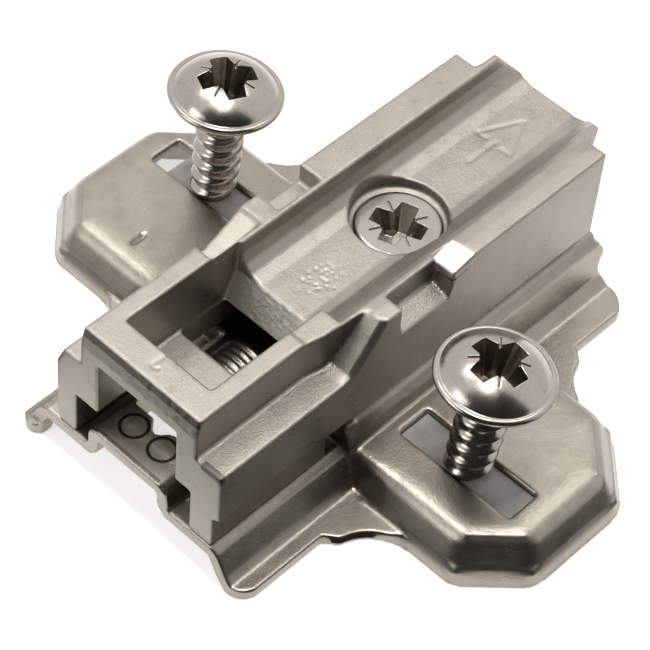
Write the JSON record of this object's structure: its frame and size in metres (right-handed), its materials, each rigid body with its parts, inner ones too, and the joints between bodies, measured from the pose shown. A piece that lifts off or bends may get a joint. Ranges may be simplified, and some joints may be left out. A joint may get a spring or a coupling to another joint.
{
  "type": "cruciform mounting plate for a concealed cup hinge",
  "caption": "Cross-shaped steel base plate with a die-cast hinge-arm carrier on it, a cam screw for height adjustment and two pre-fitted fixing screws.",
  "frame": {"origin": "on the cabinet face, under the middle of the wings and of the rail", "axes": "+X along the rail from the door's edge to the cabinet's back, +Y along the wings, +Z away from the cabinet's side wall"},
  "size_m": [0.044, 0.0508, 0.0159],
  "materials": {
    "nickel_steel": "satin nickel plating",
    "nickel_zinc": "satin nickel plating on a casting",
    "screw_steel": "bright nickel plating",
    "clear_plastic": "milky plastic"
  },
  "bodies": {
    "base": {"base_plate": "nickel_steel", "wood_screws": "screw_steel", "screw_holders": "clear_plastic"},
    "carrier": {"cast_body": "nickel_zinc"},
    "cam": {"cam_screw": "screw_steel"}
  },
  "joints": [
    {"name": "height_slide", "type": "slide", "parent": "base", "child": "carrier", "axis": [0, 1, 0], "range_m": [-0.00044, 0.00158]},
    {"name": "cam_turn", "type": "hinge", "parent": "carrier", "child": "cam", "pos_m": [0.0044, -0.00142, 0.0115], "axis": [0, 0, 1], "range_deg": [-64, 20]}
  ],
  "couplings": [
    {"joint": "cam_turn", "follows": "height_slide", "rad_per_m": -675.2}
  ]
}
